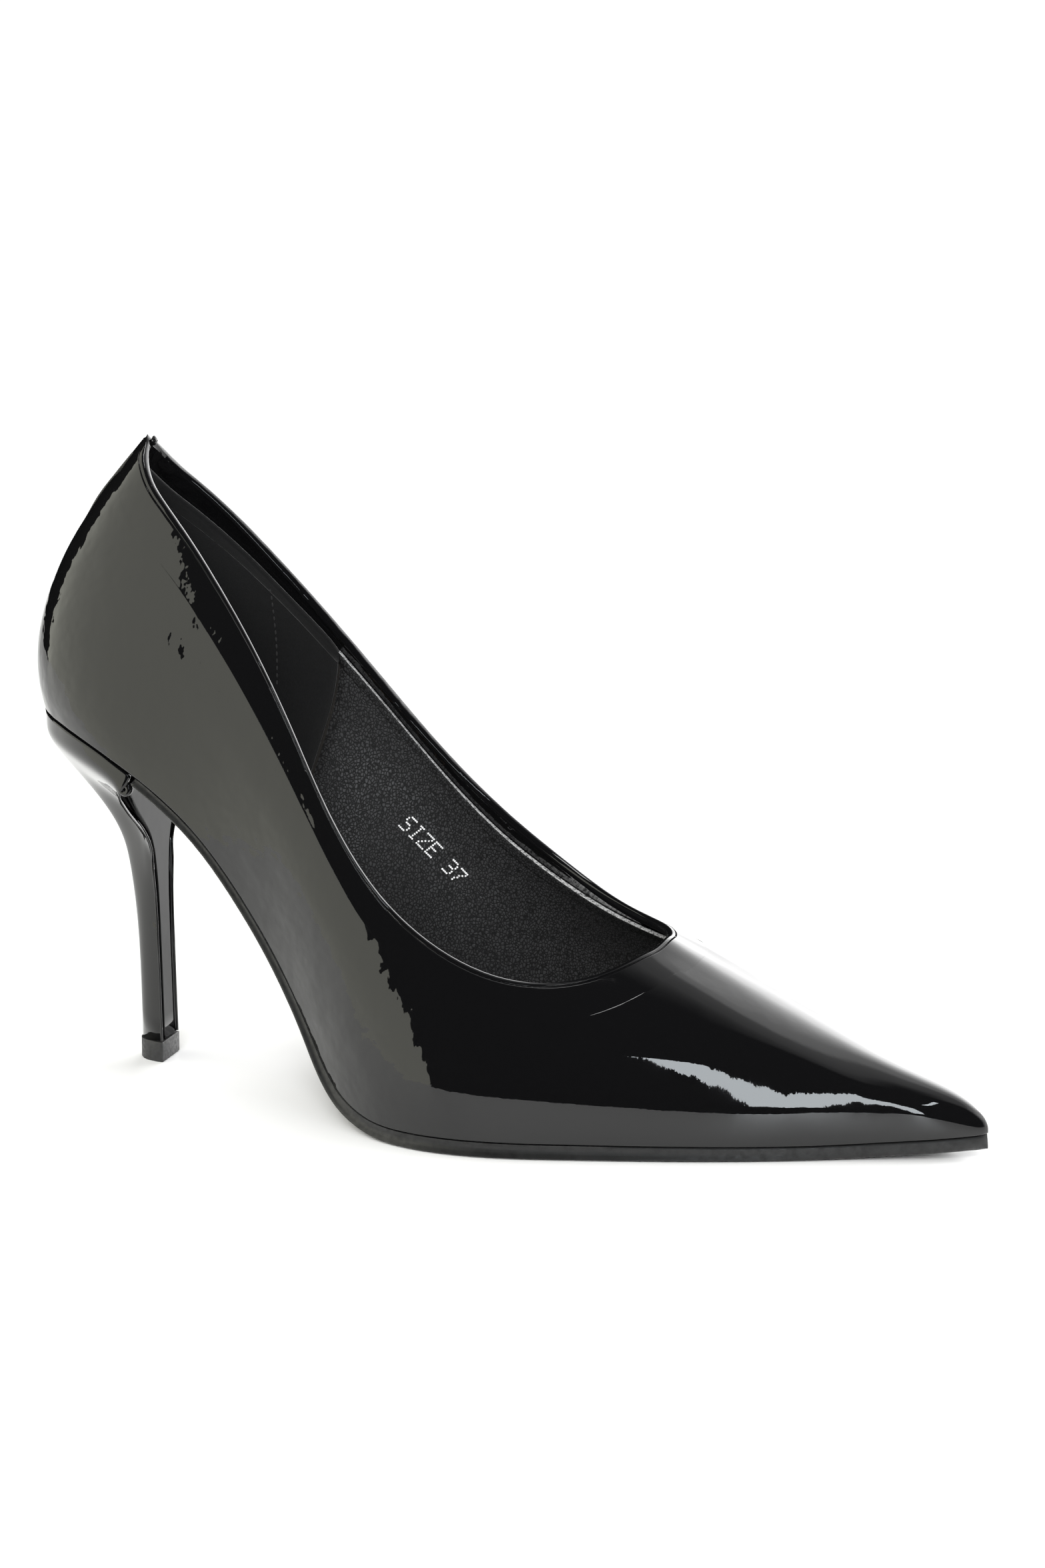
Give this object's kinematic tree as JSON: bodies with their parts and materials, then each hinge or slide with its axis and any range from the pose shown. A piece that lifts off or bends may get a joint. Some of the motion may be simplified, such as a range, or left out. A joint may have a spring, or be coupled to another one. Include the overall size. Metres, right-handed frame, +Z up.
{
  "type": "high heel pump",
  "caption": "Pointed closed-toe pump with a low-cut topline and a slim covered high heel, built as an outer, linings, boards, shank, sole and heel.",
  "frame": {"origin": "on the ground, under the middle of the whole shoe's box", "axes": "+Z up, +X from the heel towards the toe tip, -Y the outer (lateral) side of a right foot, +Y the inner side"},
  "size_m": [0.2304, 0.0822, 0.1493],
  "materials": {
    "patent": "mirror gloss black patent leather",
    "lining": "matte black pebbled lining leather",
    "suede": "black microfibre suede heel grip",
    "board": "pressed cellulose insole board",
    "foam": "latex foam padding",
    "felt": "stiffened nonwoven",
    "tape": "woven cotton",
    "sole": "satin black moulded sole with a polished edge",
    "plastic": "moulded plastic heel core",
    "tip": "matte black polyurethane",
    "steel": "plain steel"
  },
  "bodies": {
    "root": {"upper": "patent", "topline_binding": "patent", "topline_tape": "tape", "heel_counter": "felt", "toe_puff": "felt", "vamp_interlining": "tape", "vamp_lining": "lining", "heel_grip": "suede", "outsole": "sole", "shank_board": "board", "insole_board": "board", "sock_foam": "foam", "sock_lining": "lining", "bottom_filler": "felt", "steel_shank": "steel", "shank_rivet_rear": "steel", "shank_rivet_front": "steel", "heel_nail_1": "steel", "heel_nail_2": "steel", "heel_nail_3": "steel", "heel_nail_4": "steel", "heel_screw": "steel", "heel_cover": "patent", "heel_breast_cover": "patent", "heel_core": "plastic", "heel_top_piece": "tip", "top_piece_pin": "steel", "heel_tube": "steel"}
  },
  "joints": []
}
